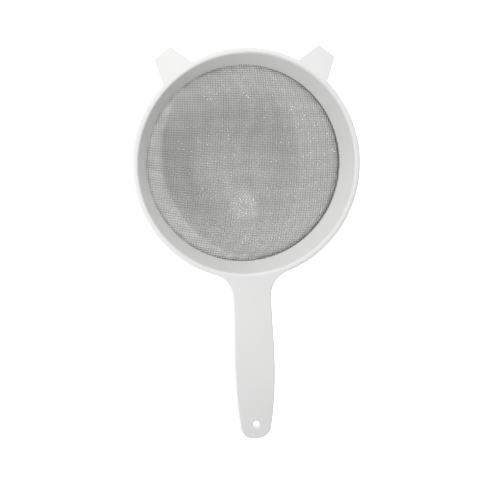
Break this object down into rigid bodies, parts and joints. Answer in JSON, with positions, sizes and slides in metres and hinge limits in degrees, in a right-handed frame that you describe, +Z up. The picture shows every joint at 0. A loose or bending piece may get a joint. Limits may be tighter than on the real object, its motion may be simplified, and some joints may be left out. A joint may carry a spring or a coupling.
{
  "type": "double sieve strainer",
  "caption": "Round hand strainer: two dished wire sieves, coarse over fine, in a moulded collar with rest ears and a flat handle with a hanging hole.",
  "frame": {"origin": "centre of the flat underside of the fine sieve, which the strainer stands on", "axes": "+Z up out of the bowl, square to the lip; -Y along the handle; +Y between the two rest ears; +X to the right"},
  "size_m": [0.2, 0.3479, 0.064],
  "materials": {
    "white_plastic": "satin moulded polypropylene",
    "steel_cloth": "woven stainless wire cloth",
    "ring_plastic": "satin moulded polypropylene"
  },
  "bodies": {
    "root": {"strainer_frame": "white_plastic", "coarse_sieve": "steel_cloth", "spacer_ring": "ring_plastic", "fine_sieve": "steel_cloth", "clamp_ring": "ring_plastic"}
  },
  "joints": []
}
